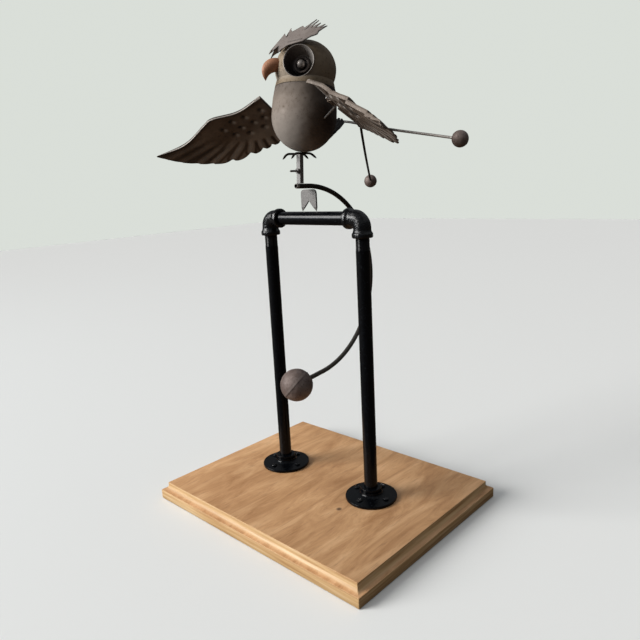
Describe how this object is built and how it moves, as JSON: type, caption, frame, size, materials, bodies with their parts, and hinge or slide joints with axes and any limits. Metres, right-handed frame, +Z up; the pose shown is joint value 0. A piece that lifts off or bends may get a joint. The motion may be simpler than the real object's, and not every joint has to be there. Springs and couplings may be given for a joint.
{
  "type": "kinetic owl sculpture",
  "caption": "Balanced metal owl with hinged wings that rocks on a sharpened plate on a black pipe stand, with a curved pendulum arm, all on a wooden board.",
  "frame": {"origin": "centre of the board's underside", "axes": "+X along the top bar toward the owl's own left, +Y toward the back, +Z up"},
  "size_m": [0.4686, 0.5176, 0.7625],
  "materials": {
    "board_wood": "bare honey-tan veneered board",
    "black_pipe": "gloss black pipe and fittings",
    "black_screw": "black screws",
    "rust_steel": "brown-grey rust patina",
    "grey_steel": "dull grey steel",
    "beak_orange": "matt terracotta"
  },
  "bodies": {
    "stand": {"base_board": "board_wood", "bar_pipe": "black_pipe", "flange_left": "black_pipe", "leg_pipe_left": "black_pipe", "elbow_left": "black_pipe", "flange_right": "black_pipe", "leg_pipe_right": "black_pipe", "elbow_right": "black_pipe", "flange_screw_left_1": "black_screw", "flange_screw_left_2": "black_screw", "flange_screw_left_3": "black_screw", "flange_screw_left_4": "black_screw", "flange_screw_right_1": "black_screw", "flange_screw_right_2": "black_screw", "flange_screw_right_3": "black_screw", "flange_screw_right_4": "black_screw"},
    "rocker": {"rocker_tube": "rust_steel", "pendulum_ball": "rust_steel", "body_shell": "rust_steel", "head_shell": "rust_steel", "tail": "rust_steel", "foot_left": "rust_steel", "eye_cup_left": "rust_steel", "iris_ring_left": "rust_steel", "foot_right": "rust_steel", "eye_cup_right": "rust_steel", "iris_ring_right": "rust_steel", "pivot_plate": "grey_steel", "owl_post": "grey_steel", "set_screw": "grey_steel", "crest": "grey_steel", "pupil_left": "grey_steel", "wing_pin_left": "grey_steel", "pupil_right": "grey_steel", "wing_pin_right": "grey_steel", "beak": "beak_orange"},
    "wing_left": {"wing_left": "rust_steel", "wing_rod_left": "rust_steel", "wing_weight_left": "rust_steel"},
    "wing_right": {"wing_right": "rust_steel", "wing_rod_right": "rust_steel", "wing_weight_right": "rust_steel"}
  },
  "joints": [
    {"name": "rocker_tilt", "type": "hinge", "parent": "stand", "child": "rocker", "pos_m": [-0.0079, 0.0105, 0.48815], "axis": [1, 0, 0], "range_deg": [-25, 25]},
    {"name": "wing_left_flap", "type": "hinge", "parent": "rocker", "child": "wing_left", "pos_m": [0.0441, -0.0261, 0.6641], "axis": [-0.135, -0.8624, 0.4879], "range_deg": [-8, 8]},
    {"name": "wing_right_flap", "type": "hinge", "parent": "rocker", "child": "wing_right", "pos_m": [-0.0599, -0.0261, 0.6641], "axis": [-0.135, 0.8624, -0.4879], "range_deg": [-8, 8]}
  ]
}
